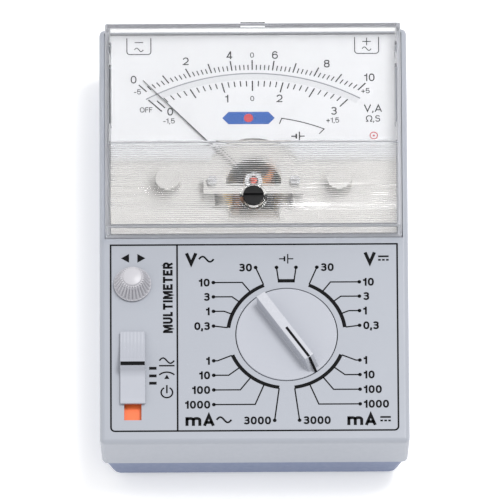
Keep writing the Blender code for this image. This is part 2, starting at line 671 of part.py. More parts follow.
def make_battery():
    x, y, z = BATTERY_CENTRE
    half = BATTERY_LENGTH / 2
    battery = rod("battery", BATTERY_RADIUS, (x - half, y, z), (x + half - 1.5, y, z), sides=32)
    join(battery, rod("battery_button", 2.7, (x + half - 2.0, y, z), (x + half, y, z)))
    metal(battery, (0.1, 0.1, 0.12))
    plate_x = DOOR_HIGH[0] + 1.0
    contact = block("battery_plate", (plate_x - 0.5, y - 5, 5.0), (plate_x, y + 5, 16.0))
    join(contact, block("plate_tongue", (plate_x - 0.5, y - 1.5, 15.0), (plate_x, y + 1.5, BOARD_LOW - GAP)))
    metal(contact, STEEL)
    coil = spiral(0, 0, 0, 4.6, 2.4, 2.5, rise=1.4, steps=12)
    spring = tube("battery_spring", [(x - half - 2.35 + rise, y + a, z + b) for a, b, rise in coil], 0.35, 0)
    metal(spring, STEEL)


def make_wiring():
    """Insulated leads from the sockets and the movement to the board."""
    for sign, side in (("minus", -1), ("plus", 1)):
        x = side * SOCKET_X
        route = [(x, 45.4, SOCKET_Z), (x, 42, 20.9), (x + side * 1.5, 30, 18.5),
                 (x + side * 2, 12, 16.8), (x + side * 1.5, -3, 16.6), (x + side, -11, 17.4),
                 (x + side, -13, BOARD_LOW - GAP)]
        plastic(tube(f"{sign}_socket_lead", smooth_path(route, 3), 0.7), BLACK)
        x = side * 4.5
        route = [(x, 4.7, 30.05), (x, 3.1, 29.95), (x, 1.9, 28.6), (x, 1.4, 26), (x, -1.0, 23),
                 (x, -5.0, 22.2)]
        plastic(tube(f"{sign}_meter_lead", smooth_path(route, 3), 0.35), BLACK)


make_rear_shell()
make_front_shell()
make_clear_cover()
make_battery_cover()
make_fasteners()
make_dial()
make_magnet()
make_bridges()
make_moving_coil()
make_zero_adjuster()
make_meter_terminals()
make_range_knob()
make_zero_knob()
make_power_slider()
make_board()
make_sockets()
make_battery()
make_wiring()
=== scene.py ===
"""Looks of the analog multimeter: moulded case, printed panel and dial, clear ribbed cover,
moving-coil movement, knobs and slider. Sizes here are millimetres unless a name ends in _m.
"""

import math

import bmesh
import bpy
from mathutils import Matrix, Vector


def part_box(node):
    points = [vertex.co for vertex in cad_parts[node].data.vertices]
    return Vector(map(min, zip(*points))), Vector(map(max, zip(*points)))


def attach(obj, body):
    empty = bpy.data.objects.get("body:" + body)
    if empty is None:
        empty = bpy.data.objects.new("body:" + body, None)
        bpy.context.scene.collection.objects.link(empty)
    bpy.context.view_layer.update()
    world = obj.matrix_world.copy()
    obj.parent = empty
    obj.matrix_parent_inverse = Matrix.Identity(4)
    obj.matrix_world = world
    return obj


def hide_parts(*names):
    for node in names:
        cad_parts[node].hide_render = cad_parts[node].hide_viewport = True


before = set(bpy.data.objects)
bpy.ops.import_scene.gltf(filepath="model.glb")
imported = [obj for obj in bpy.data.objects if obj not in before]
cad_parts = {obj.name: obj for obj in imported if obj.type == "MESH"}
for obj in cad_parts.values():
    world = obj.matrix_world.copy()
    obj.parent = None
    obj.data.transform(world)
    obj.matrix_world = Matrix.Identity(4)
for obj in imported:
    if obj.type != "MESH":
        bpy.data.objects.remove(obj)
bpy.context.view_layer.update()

MM = 0.001
FEATHER = 0.02
INK_HEIGHT = 0.03


def box(node):
    """Lowest and highest corner of a CAD node in millimetres."""
    low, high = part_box(node)
    return Vector(low) / MM, Vector(high) / MM


def middle(node):
    low, high = box(node)
    return (low + high) / 2


PANEL = box("front_shell")[1].z
DIAL = box("dial_plate")[1].z
KNOB = middle("range_rotor").xy
KNOB_DISC = PANEL + 0.2
ZERO_KNOB = middle("zero_knob").xy
PIVOT = middle("upper_spindle").xy
ZERO_SCREW = middle("zero_screw").xy
COVER_LOW, COVER_HIGH = box("clear_cover")
POINTER_ANGLE = math.radians(43.5)
KNOB_HEADING = math.radians(-145.0)


# ---- node helper and colours ----

def linear(hex_colour):
    """An sRGB hex colour as linear RGBA."""
    channels = [int(hex_colour[i:i + 2], 16) / 255 for i in (1, 3, 5)]
    return (*[c / 12.92 if c <= 0.04045 else ((c + 0.055) / 1.055) ** 2.4 for c in channels], 1)


def add(tree, kind, settings=None, **inputs):
    """One node with its settings and inputs; an input that is a socket is linked."""
    node = tree.nodes.new(kind)
    for key, value in (settings or {}).items():
        setattr(node, key, value)
    for key, value in inputs.items():
        sockets = [s for s in node.inputs if s.name.replace(" ", "_") == key and s.enabled]
        socket = sockets[0]
        if isinstance(value, bpy.types.NodeSocket):
            tree.links.new(value, socket)
        else:
            socket.default_value = value
    return node


def new_material(name):
    material = bpy.data.materials.new(name)
    material.use_nodes = True
    material.node_tree.nodes.clear()
    return material, material.node_tree


def grain(tree, size_mm, detail=2.0, stretch=None):
    """A noise whose cells are about a size in millimetres."""
    place = add(tree, "ShaderNodeTexCoord").outputs["Object"]
    if stretch:
        place = add(tree, "ShaderNodeMapping", Vector=place, Scale=stretch).outputs["Vector"]
    noise = add(tree, "ShaderNodeTexNoise", Vector=place, Scale=1 / (size_mm * MM), Detail=detail)
    return noise.outputs["Fac"]


def spread(tree, value, low, high):
    """A noise's middle range spread between two values."""
    return add(tree, "ShaderNodeMapRange", Value=value, From_Min=0.3, From_Max=0.7,
               To_Min=low, To_Max=high).outputs["Result"]


def tinted(tree, factor, first, second):
    mix = add(tree, "ShaderNodeMix", {"data_type": "RGBA"})
    tree.links.new(factor, mix.inputs[0])
    mix.inputs[6].default_value = linear(first)
    mix.inputs[7].default_value = linear(second)
    return mix.outputs[2]


def close(tree, surface):
    add(tree, "ShaderNodeOutputMaterial", Surface=surface)


# ---- materials ----

def moulded_abs(name, colour, shade, roughness=0.42, grain_mm=0.28, depth_mm=0.008, shine=0.5):
    """ABS from a spark-eroded mould: an even satin grain, with flow marks a little darker."""
    material, tree = new_material(name)
    texture = grain(tree, grain_mm, 3.0)
    bump = add(tree, "ShaderNodeBump", Height=texture, Distance=depth_mm * MM, Strength=0.8)
    flow = grain(tree, 14.0, 3.0)
    shader = add(tree, "ShaderNodeBsdfPrincipled", Base_Color=tinted(tree, flow, colour, shade),
                 Roughness=spread(tree, grain(tree, 1.7), roughness - 0.05, roughness + 0.06),
                 Normal=bump.outputs["Normal"], IOR=1.53, Specular_IOR_Level=shine)
    close(tree, shader.outputs[0])
    return material


def printing_ink(name, colour, edge):
    """Pad-printed ink: a thin semi-matt film, slightly uneven in cover."""
    material, tree = new_material(name)
    shader = add(tree, "ShaderNodeBsdfPrincipled",
                 Base_Color=tinted(tree, grain(tree, 0.6, 4.0), colour, edge),
                 Roughness=spread(tree, grain(tree, 0.4), 0.5, 0.65), IOR=1.5,
                 Specular_IOR_Level=0.12)
    close(tree, shader.outputs[0])
    return material


def clear_plastic(name, colour, roughness, clear_share):
    """Injection-moulded crystal polystyrene: bright, with a trace of flow lines; its greyer and paler copies
    are painted light on the cover's rounded edges and foot.
    """
    material, tree = new_material(name)
    lines = grain(tree, 6.0, 2.0, stretch=(1, 0.2, 1))
    bump = add(tree, "ShaderNodeBump", Height=lines, Distance=0.01 * MM, Strength=0.05)
    glass = add(tree, "ShaderNodeBsdfPrincipled", Base_Color=linear(colour), Roughness=roughness,
                IOR=1.5, Transmission_Weight=clear_share, Normal=bump.outputs["Normal"])
    open_air = add(tree, "ShaderNodeBsdfTransparent", Color=linear(colour))
    lamp_ray = add(tree, "ShaderNodeLightPath").outputs["Is Shadow Ray"]
    mix = add(tree, "ShaderNodeMixShader", Fac=lamp_ray)
    tree.links.new(glass.outputs[0], mix.inputs[1])
    tree.links.new(open_air.outputs[0], mix.inputs[2])
    close(tree, mix.outputs[0])
    return material


def worked_metal(name, colour, shade, roughness, stretch=(1, 1, 1), grain_mm=0.5, depth_mm=0.002):
    """Bare or plated metal with the lines that its last tool left."""
    material, tree = new_material(name)
    lines = grain(tree, grain_mm, 4.0, stretch)
    bump = add(tree, "ShaderNodeBump", Height=lines, Distance=depth_mm * MM, Strength=0.6)
    shader = add(tree, "ShaderNodeBsdfPrincipled", Metallic=1.0,
                 Base_Color=tinted(tree, grain(tree, 3.0), colour, shade),
                 Roughness=spread(tree, lines, roughness - 0.06, roughness + 0.08),
                 Normal=bump.outputs["Normal"])
    close(tree, shader.outputs[0])
    return material


def lacquered_plate(name, colour, shade, roughness):
    """Sheet metal sprayed matt: almost flat, with the finest orange peel."""
    material, tree = new_material(name)
    peel = grain(tree, 0.35, 2.0)
    bump = add(tree, "ShaderNodeBump", Height=peel, Distance=0.004 * MM, Strength=0.5)
    shader = add(tree, "ShaderNodeBsdfPrincipled", IOR=1.48,
                 Base_Color=tinted(tree, grain(tree, 9.0), colour, shade),
                 Roughness=spread(tree, peel, roughness - 0.05, roughness + 0.05),
                 Normal=bump.outputs["Normal"])
    close(tree, shader.outputs[0])
    return material


CASE_ABS = moulded_abs("grey_abs", "#A3A7B0", "#A0A4AD")
REAR_ABS = moulded_abs("blue_grey_abs", "#6D7895", "#687390", roughness=0.45)
KNOB_ABS = moulded_abs("knob_abs", "#ADB0B9", "#AAADB6", roughness=0.36, grain_mm=0.5, depth_mm=0.004)
# Painted light: a paler, glossier copy of the knob plastic for the grip's upward faces, lighter as if lit
# from above.
PAINTED_LIT_TOP_ABS = moulded_abs("knob_abs_polished", "#BDBFC6", "#B8BAC2", roughness=0.25, grain_mm=0.9,
                           depth_mm=0.002)
PALE_ABS = moulded_abs("pale_abs", "#BDBCC1", "#B7B6BC", roughness=0.34, grain_mm=0.6, depth_mm=0.003)
WHITE_NYLON = moulded_abs("white_nylon", "#B6B4B2", "#B0AEAC", roughness=0.5)
BLACK_NYLON = moulded_abs("black_nylon", "#08080A", "#0E0E11", roughness=0.34, shine=0.22)
ORANGE_ABS = moulded_abs("orange_abs", "#FF7A42", "#FA743D", roughness=0.4)
BROWN_PHENOLIC = moulded_abs("brown_phenolic", "#8B857C", "#7C766E", roughness=0.45)
RED_PVC = moulded_abs("red_pvc", "#A81E1E", "#961919", roughness=0.4)
BLUE_RESIN = moulded_abs("blue_resin", "#2C4E8E", "#28467F", roughness=0.35)
AMBER_RESIN = moulded_abs("amber_resin", "#A0702C", "#8C6126", roughness=0.3)
SOLDER_MASK = moulded_abs("green_solder_mask", "#1F6A3E", "#1B5E37", roughness=0.35)
BATTERY_WRAP = moulded_abs("battery_wrap", "#2B2C30", "#35363B", roughness=0.25, grain_mm=1.5)
BLACK_INK = printing_ink("black_ink", "#020305", "#06070B")
GREY_INK = printing_ink("grey_ink", "#75777D", "#82848A")
FINE_INK = printing_ink("fine_black_ink", "#08090C", "#121317")
RED_INK = printing_ink("red_ink", "#A3343A", "#AD4046")
BLUE_INK = printing_ink("blue_ink", "#1F4A8E", "#275296")
PALE_INK = printing_ink("pale_ink", "#B2B3B7", "#B8B9BC")
POLYSTYRENE = clear_plastic("clear_polystyrene", "#F8F8F8", 0.02, 1.0)
# Painted light: a greyer, cloudier copy of the clear plastic stands in for light caught and bent at the
# cover's rounded edges.
CLEAR_PAINTED_EDGE_LIGHT = clear_plastic("clear_polystyrene_edge", "#B4B6BB", 0.3, 0.45)
# Painted light: a paler copy for the cover's wall foot, which really sits in shade in its seat.
CLEAR_PAINTED_FOOT_LIGHT = clear_plastic("clear_polystyrene_foot", "#DCDDE1", 0.35, 0.3)
DIAL_WHITE = lacquered_plate("dial_lacquer", "#BDBEC1", "#BBBCBF", 0.6)
POINTER_BLACK = lacquered_plate("pointer_lacquer", "#1A1B20", "#24252B", 0.5)
BRIGHT_STEEL = worked_metal("bright_steel", "#C9C9CB", "#B4B4B7", 0.26, stretch=(8, 1, 1))
ZINC_STEEL = worked_metal("zinc_plated_steel", "#CFC9BF", "#BDB7AE", 0.45)
DARK_MAGNET = worked_metal("sintered_magnet", "#3B3735", "#2A2725", 0.5, grain_mm=0.3, depth_mm=0.01)
BRASS = worked_metal("turned_brass", "#D3AE66", "#C09A55", 0.3, stretch=(1, 6, 1))
COPPER_WIRE = worked_metal("enamelled_copper", "#C08A66", "#A97452", 0.4)
RED_LACQUER = worked_metal("locking_lacquer", "#B0524A", "#8F3D38", 0.4)


# ---- mesh helpers ----

def finished(name, bm, material, body, sharp_degrees=35, recalc=False):
    """A plain mesh object at the origin that rides on a body."""
    if recalc:
        bmesh.ops.remove_doubles(bm, verts=bm.verts, dist=1e-4)
        bmesh.ops.recalc_face_normals(bm, faces=bm.faces)
    bmesh.ops.scale(bm, vec=(MM, MM, MM), verts=bm.verts)
    mesh = bpy.data.meshes.new(name)
    bm.to_mesh(mesh)
    bm.free()
    return placed(name, mesh, material, body, sharp_degrees)


def placed(name, mesh, material, body, sharp_degrees=35):
    """An object for a mesh in metres, shaded and riding on a body."""
    mesh.shade_smooth()
    mesh.set_sharp_from_angle(angle=math.radians(sharp_degrees))
    finishes = material if isinstance(material, tuple) else (material,)
    kept = [face.material_index for face in mesh.polygons]
    mesh.materials.clear()
    for finish in finishes:
        mesh.materials.append(finish)
    if len(finishes) > 1:
        mesh.polygons.foreach_set("material_index", kept)
    piece = bpy.data.objects.new(name, mesh)
    bpy.context.scene.collection.objects.link(piece)
    if body:
        weighting = piece.modifiers.new("flat_faces_keep_their_normals", "WEIGHTED_NORMAL")
        weighting.keep_sharp = True
        weighting.weight = 100
        weighted = evaluated_mesh(piece)
        piece.modifiers.clear()
        piece.data = weighted
        bpy.data.meshes.remove(mesh)
        weighted.name = name
        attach(piece, body)
    return piece


def evaluated_mesh(obj):
    depsgraph = bpy.context.evaluated_depsgraph_get()
    return bpy.data.meshes.new_from_object(obj.evaluated_get(depsgraph))


def cad_copy(node):
    """The CAD node's shape in millimetres, welded and with its flat faces merged."""
    bm = bmesh.new()
    bm.from_mesh(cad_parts[node].data)
    bmesh.ops.scale(bm, vec=(1 / MM, 1 / MM, 1 / MM), verts=bm.verts)
    bmesh.ops.remove_doubles(bm, verts=bm.verts, dist=1e-3)
    bmesh.ops.dissolve_limit(bm, angle_limit=math.radians(0.5), verts=bm.verts, edges=bm.edges)
    return bm


def refined(node, material, body, edge=0.2, segments=2, shape=None):
    """A CAD node with softened edges and smooth round faces in its place."""
    name = node + "_finish"
    draft = finished(name, shape or cad_copy(node), material, None)
    bevel = draft.modifiers.new("softened_edges", "BEVEL")
    bevel.width = edge * MM
    bevel.segments = segments
    bevel.limit_method = "ANGLE"
    bevel.angle_limit = math.radians(35)
    bevel.harden_normals = False
    mesh = evaluated_mesh(draft)
    bpy.data.objects.remove(draft)
    piece = placed(name, mesh, material, body)
    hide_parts(node)
    return piece


def clean(node, material):
    """A CAD node that keeps its shape and gets its finish."""
    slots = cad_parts[node].material_slots
    for slot in slots:
        slot.material = material
    if not slots:
        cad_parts[node].data.materials.append(material)


def prism(bm, outline, low, high):
    """A closed slab over an outline that runs anticlockwise."""
    top = [bm.verts.new((x, y, high)) for x, y in outline]
    bottom = [bm.verts.new((x, y, low)) for x, y in outline]
    bm.faces.new(top)
    bm.faces.new(bottom[::-1])
    for i, corner in enumerate(top):
        j = (i + 1) % len(top)
        bm.faces.new((corner, bottom[i], bottom[j], top[j]))


def stroke(bm, points, width, low, high, closed=False):
    """A line of even width through points, as one closed solid with mitred corners."""
    points = [Vector(p) for p in points]
    count = len(points)
    left, right = [], []
    for i, point in enumerate(points):
        before = points[i - 1] if closed or i else None
        after = points[(i + 1) % count] if closed or i < count - 1 else None
        ways = [(b - a).normalized() for a, b in ((before, point), (point, after))
                if a is not None and b is not None]
        along = sum(ways, Vector((0, 0))).normalized()
        side = Vector((-along.y, along.x))
        reach = width / 2 / max(0.4, side.dot(Vector((-ways[0].y, ways[0].x))))
        left.append(point + side * reach)
        right.append(point - side * reach)
    rows = [[(bm.verts.new((*p, high))) for p in row] + [bm.verts.new((*p, low)) for p in row]
            for row in (left, right)]
    (left_verts, right_verts) = rows
    for i in range(count if closed else count - 1):
        j = (i + 1) % count
        a, b, c, d = left_verts[i], left_verts[j], right_verts[j], right_verts[i]
        e, f, g, h = (left_verts[i + count], left_verts[j + count],
                      right_verts[j + count], right_verts[i + count])
        for face in ((d, c, b, a), (e, f, g, h), (a, b, f, e), (c, d, h, g)):
            bm.faces.new(face)
    if not closed:
        for i, flip in ((0, False), (count - 1, True)):
            face = (left_verts[i], left_verts[i + count], right_verts[i + count], right_verts[i])
            bm.faces.new(face[::-1] if flip else face)


def arc(centre, radius, start, end, steps):
    """Points on an arc; angles in degrees, clockwise from +Y."""
    angles = [math.radians(start + (end - start) * i / steps) for i in range(steps + 1)]
    return [(centre[0] + radius * math.sin(a), centre[1] + radius * math.cos(a)) for a in angles]


def dot(bm, x, y, radius, low, high, sides=20):
    prism(bm, arc((x, y), radius, 360, 360 / sides, sides - 1), low, high)


def bow(x, y, half_wide, half_tall, start, end, steps=14):
    """Points on an oval a little squarer than an ellipse; degrees anticlockwise from +X."""
    points = []
    for i in range(steps + 1):
        angle = math.radians(start + (end - start) * i / steps)
        across, up = math.cos(angle), math.sin(angle)
        points.append((x + half_wide * math.copysign(abs(across) ** 0.86, across),
                       y + half_tall * math.copysign(abs(up) ** 0.86, up)))
    return points


def glyph(letter, pen):
    """A sign of height 1 as (width, open strokes, closed strokes) for a pen of a given width."""
    h = pen / 2
    width = {"1": 0.46, ",": 0.16, "I": pen, "M": 0.95, "m": 1.25, "+": 0.7, "-": 0.45, "V": 0.92, "A": 0.94,
             "O": 0.9, "Ω": 0.95, "L": 0.62, "E": 0.67, "F": 0.62, " ": 0.4}.get(letter, 0.74)
    left, middle, right, top = h, width / 2, width - h, 1 - h
    half = middle - h
    waist = 0.54 if letter in "38S" else 0.5
    upper, lower = (top - waist) / 2, (waist - h) / 2
    arms = [(right + h, top), (left, top), (left, h), (right + h, h)]
    shapes = {
        "0": ([], [bow(middle, 0.5, half, 0.5 - h, 0, 360 - 15, 23)]),
        "1": ([[(middle + 0.1, 0), (middle + 0.1, 1)], [(0, 0.76 - h / 2), (middle + 0.1, 0.8 - h / 2)]], []),
        "2": ([bow(middle, top - 0.28, half, 0.28, 170, -38) + [(left, h), (width, h)]], []),
        "3": ([bow(middle, top - upper, half * 0.92, upper, 160, -90)
               + bow(middle, h + lower, half, lower, 90, -160)[1:]], []),
        "4": ([[(width, 0.25), (left, 0.25), (width * 0.7, 1)], [(width * 0.7, 0), (width * 0.7, 1)]], []),
        "5": ([[(right, top), (left + 0.07, top), (left, 0.46)]
               + bow(middle, h + 0.27, half, 0.27, 140, -160)], []),
        "6": ([bow(middle, 0.55, half, top - 0.55, 30, 180) + [(left, h + 0.27)]],
              [bow(middle, h + 0.27, half, 0.27, 0, 345, 23)]),
        "8": ([], [bow(middle, top - upper, half * 0.9, upper, 0, 345, 23),
                   bow(middle, h + lower, half, lower, 0, 345, 23)]),
        ",": ([[(middle, pen), (middle, 0), (middle - 0.07, -0.15)]], []),
        "+": ([[(0, 0.4), (width, 0.4)], [(middle, 0.4 - width / 2), (middle, 0.4 + width / 2)]], []),
        "-": ([[(0, 0.38), (width, 0.38)]], []),
        "V": ([[(h, 1), (middle, h), (width - h, 1)]], []),
        "A": ([[(h, 0), (middle, top), (width - h, 0)], [(width * 0.22, 0.28), (width * 0.78, 0.28)]], []),
        "m": ([[(left, 0), (left, 0.74)],
               bow((left + middle) / 2, 0.44, half / 2, 0.3 - h, 180, 0) + [(middle, 0)],
               bow((middle + right) / 2, 0.44, half / 2, 0.3 - h, 180, 0) + [(right, 0)]], []),
        "Ω": ([[(0, h), (width * 0.3, h)] + bow(middle, 0.55, half, 0.45 - h, 238, -58)
               + [(width * 0.7, h), (width, h)]], []),
        "S": ([bow(middle, top - upper, half * 0.94, upper, 20, 270)
               + bow(middle, h + lower, half, lower, 90, -160)[1:]], []),
        "O": ([], [bow(middle, 0.5, half, 0.5 - h, 0, 345, 23)]),
        "F": ([[(left, 0), (left, top), (right + h, top)], [(left, 0.52), (right, 0.52)]], []),
        "M": ([[(left, 0), (left, 1)], [(right, 0), (right, 1)],
               [(left + h, top), (middle, 0.1), (right - h, top)]], []),
        "U": ([[(left, 1)] + bow(middle, 0.38, half, 0.38 - h, 180, 360) + [(right, 1)]], []),
        "L": ([[(left, 1), (left, h), (right, h)]], []),
        "T": ([[(0, top), (width, top)], [(middle, 0), (middle, top)]], []),
        "I": ([[(middle, 0), (middle, 1)]], []),
        "E": ([arms, [(left, 0.52), (right, 0.52)]], []),
        "R": ([[(left, 0), (left, top), (middle, top)] + bow(middle, top - 0.22, half, 0.22, 90, -90)
               + [(left, top - 0.44)],
               [(middle, top - 0.44), (right, 0)]], []),
        " ": ([], []),
    }
    return width, *shapes[letter]


def lettering(bm, text, x, y, height, low, high, align=0.5, pen=0.18, stretch=1.0, turn=0.0, gap=0.13):
    """Words drawn with an even pen about a middle line; align is 0 at their left end, 1 at the right."""
    signs = [glyph(letter, pen) for letter in text]
    length = sum(sign[0] + gap for sign in signs) - gap
    heading = Matrix.Rotation(math.radians(turn), 2)
    start = -align * length
    for width, open_strokes, closed_strokes in signs:
        for strokes, closed in ((open_strokes, False), (closed_strokes, True)):
            for points in strokes:
                route = [Vector((x, y)) + heading @ Vector(((start + px) * stretch, py - 0.5)) * height
                         for px, py in points]
                stroke(bm, route, pen * height, low, high, closed)
        start += width + gap


# ---- repeated shapes, as Geometry Nodes ----

def tree_with(name, sockets):
    """A Geometry Nodes tree with named inputs: name -> (socket type)."""
    tree = bpy.data.node_groups.new(name, "GeometryNodeTree")
    for socket, kind in sockets.items():
        tree.interface.new_socket(name=socket, in_out="INPUT", socket_type=kind)
    tree.interface.new_socket(name="Geometry", in_out="OUTPUT", socket_type="NodeSocketGeometry")
    return tree, tree.nodes.new("NodeGroupInput").outputs


def end_tree(tree, geometry, material):
    """Realised and painted, as the tree's result."""
    real = add(tree, "GeometryNodeRealizeInstances", Geometry=geometry)
    painted = add(tree, "GeometryNodeSetMaterial", Geometry=real.outputs[0], Material=material)
    add(tree, "NodeGroupOutput", Geometry=painted.outputs[0])
    return tree


def grown(name, tree, material, body, values, sharp_degrees=35):
    """The tree's result as a plain mesh in metres."""
    carrier = bpy.data.objects.new(name, bpy.data.meshes.new(name))
    bpy.context.scene.collection.objects.link(carrier)
    modifier = carrier.modifiers.new("nodes", "NODES")
    modifier.node_group = tree
    for item in tree.interface.items_tree:
        if item.in_out == "INPUT":
            modifier[item.identifier] = material if item.name == "Material" else values[item.name]
    mesh = evaluated_mesh(carrier)
    bpy.data.objects.remove(carrier)
    return placed(name, mesh, material, body, sharp_degrees)


def cover_rib_tree():
    """Half-round ribs side by side along Y, each a bar along X."""
    tree, given = tree_with("cover_ribs", {
        "Count": "NodeSocketInt", "Start": "NodeSocketVector", "Pitch": "NodeSocketFloat",
        "Width": "NodeSocketFloat", "Depth": "NodeSocketFloat", "Length": "NodeSocketFloat",
        "Material": "NodeSocketMaterial"})
    step = add(tree, "ShaderNodeCombineXYZ", Y=given["Pitch"])
    line = add(tree, "GeometryNodeMeshLine", Count=given["Count"], Start_Location=given["Start"],
               Offset=step.outputs[0])
    bar = add(tree, "GeometryNodeMeshCylinder", Vertices=12, Radius=1.0, Depth=given["Length"])
    half_width = add(tree, "ShaderNodeMath", {"operation": "MULTIPLY"})
    tree.links.new(given["Width"], half_width.inputs[0])
    half_width.inputs[1].default_value = 0.5
    size = add(tree, "ShaderNodeCombineXYZ", X=given["Depth"], Y=half_width.outputs[0], Z=1.0)
    flat = add(tree, "GeometryNodeTransform", Geometry=bar.outputs["Mesh"], Scale=size.outputs[0])
    lying = add(tree, "GeometryNodeTransform", Geometry=flat.outputs[0], Rotation=(0, math.pi / 2, 0))
    ribs = add(tree, "GeometryNodeInstanceOnPoints", Points=line.outputs["Mesh"],
               Instance=lying.outputs[0])
    return end_tree(tree, ribs.outputs[0], given["Material"])


def fluted_cone_tree():
    """A cone whose side is pressed in by evenly spaced flutes."""
    tree, given = tree_with("fluted_cone", {
        "Flutes": "NodeSocketInt", "Flute Depth": "NodeSocketFloat", "Low Radius": "NodeSocketFloat",
        "High Radius": "NodeSocketFloat", "Height": "NodeSocketFloat", "Place": "NodeSocketVector",
        "Material": "NodeSocketMaterial"})
    cone = add(tree, "GeometryNodeMeshCone", Vertices=240, Side_Segments=8,
               Radius_Top=given["High Radius"], Radius_Bottom=given["Low Radius"], Depth=given["Height"])
    place = add(tree, "GeometryNodeInputPosition").outputs[0]
    parts = add(tree, "ShaderNodeSeparateXYZ", Vector=place)
    angle = add(tree, "ShaderNodeMath", {"operation": "ARCTAN2"})
    tree.links.new(parts.outputs["Y"], angle.inputs[0])
    tree.links.new(parts.outputs["X"], angle.inputs[1])
    turns = add(tree, "ShaderNodeMath", {"operation": "MULTIPLY"})
    tree.links.new(angle.outputs[0], turns.inputs[0])
    tree.links.new(given["Flutes"], turns.inputs[1])
    wave = add(tree, "ShaderNodeMath", {"operation": "COSINE"})
    tree.links.new(turns.outputs[0], wave.inputs[0])
    ramp = add(tree, "ShaderNodeMapRange", Value=wave.outputs[0], From_Min=-1.0, From_Max=1.0)
    narrow = add(tree, "ShaderNodeMath", {"operation": "POWER"})
    tree.links.new(ramp.outputs["Result"], narrow.inputs[0])
    narrow.inputs[1].default_value = 2.5
    inward = add(tree, "ShaderNodeMath", {"operation": "MULTIPLY"})
    tree.links.new(narrow.outputs[0], inward.inputs[0])
    inward.inputs[1].default_value = -1.0
    depth = add(tree, "ShaderNodeMath", {"operation": "MULTIPLY"})
    tree.links.new(inward.outputs[0], depth.inputs[0])
    tree.links.new(given["Flute Depth"], depth.inputs[1])
    level = add(tree, "ShaderNodeCombineXYZ", X=parts.outputs["X"], Y=parts.outputs["Y"])
    outward = add(tree, "ShaderNodeVectorMath", {"operation": "NORMALIZE"})
    tree.links.new(level.outputs[0], outward.inputs[0])
    push = add(tree, "ShaderNodeVectorMath", {"operation": "SCALE"})
    tree.links.new(outward.outputs[0], push.inputs[0])
    tree.links.new(depth.outputs[0], push.inputs["Scale"])
    pressed = add(tree, "GeometryNodeSetPosition", Geometry=cone.outputs["Mesh"], Offset=push.outputs[0])
    stood = add(tree, "GeometryNodeTransform", Geometry=pressed.outputs[0], Translation=given["Place"])
    return end_tree(tree, stood.outputs[0], given["Material"])


def hairspring_tree():
    """A flat ribbon wound in a spiral about its own centre."""
    tree, given = tree_with("hairspring", {
        "Turns": "NodeSocketFloat", "Inner": "NodeSocketFloat", "Outer": "NodeSocketFloat",
        "Wire": "NodeSocketFloat", "Place": "NodeSocketVector", "Material": "NodeSocketMaterial"})
    spiral = add(tree, "GeometryNodeCurveSpiral", Resolution=48, Rotations=given["Turns"],
                 Start_Radius=given["Inner"], End_Radius=given["Outer"], Height=0.0)
    ring = add(tree, "GeometryNodeCurvePrimitiveCircle", Resolution=8, Radius=given["Wire"])
    wire = add(tree, "GeometryNodeCurveToMesh", Curve=spiral.outputs[0],
               Profile_Curve=ring.outputs["Curve"], Fill_Caps=True)
    stood = add(tree, "GeometryNodeTransform", Geometry=wire.outputs[0], Translation=given["Place"])
    return end_tree(tree, stood.outputs[0], given["Material"])


# ---- case ----

def dress_case():
    refined("front_shell", CASE_ABS, "case", edge=0.25)
    refined("rear_shell", REAR_ABS, "case", edge=0.25)
    refined("battery_cover", REAR_ABS, "battery_cover", edge=0.2)


# ---- clear cover ----

COVER_WALL = 1.3
FOOT_RISE = 1.5
RIB_PITCH = 0.71


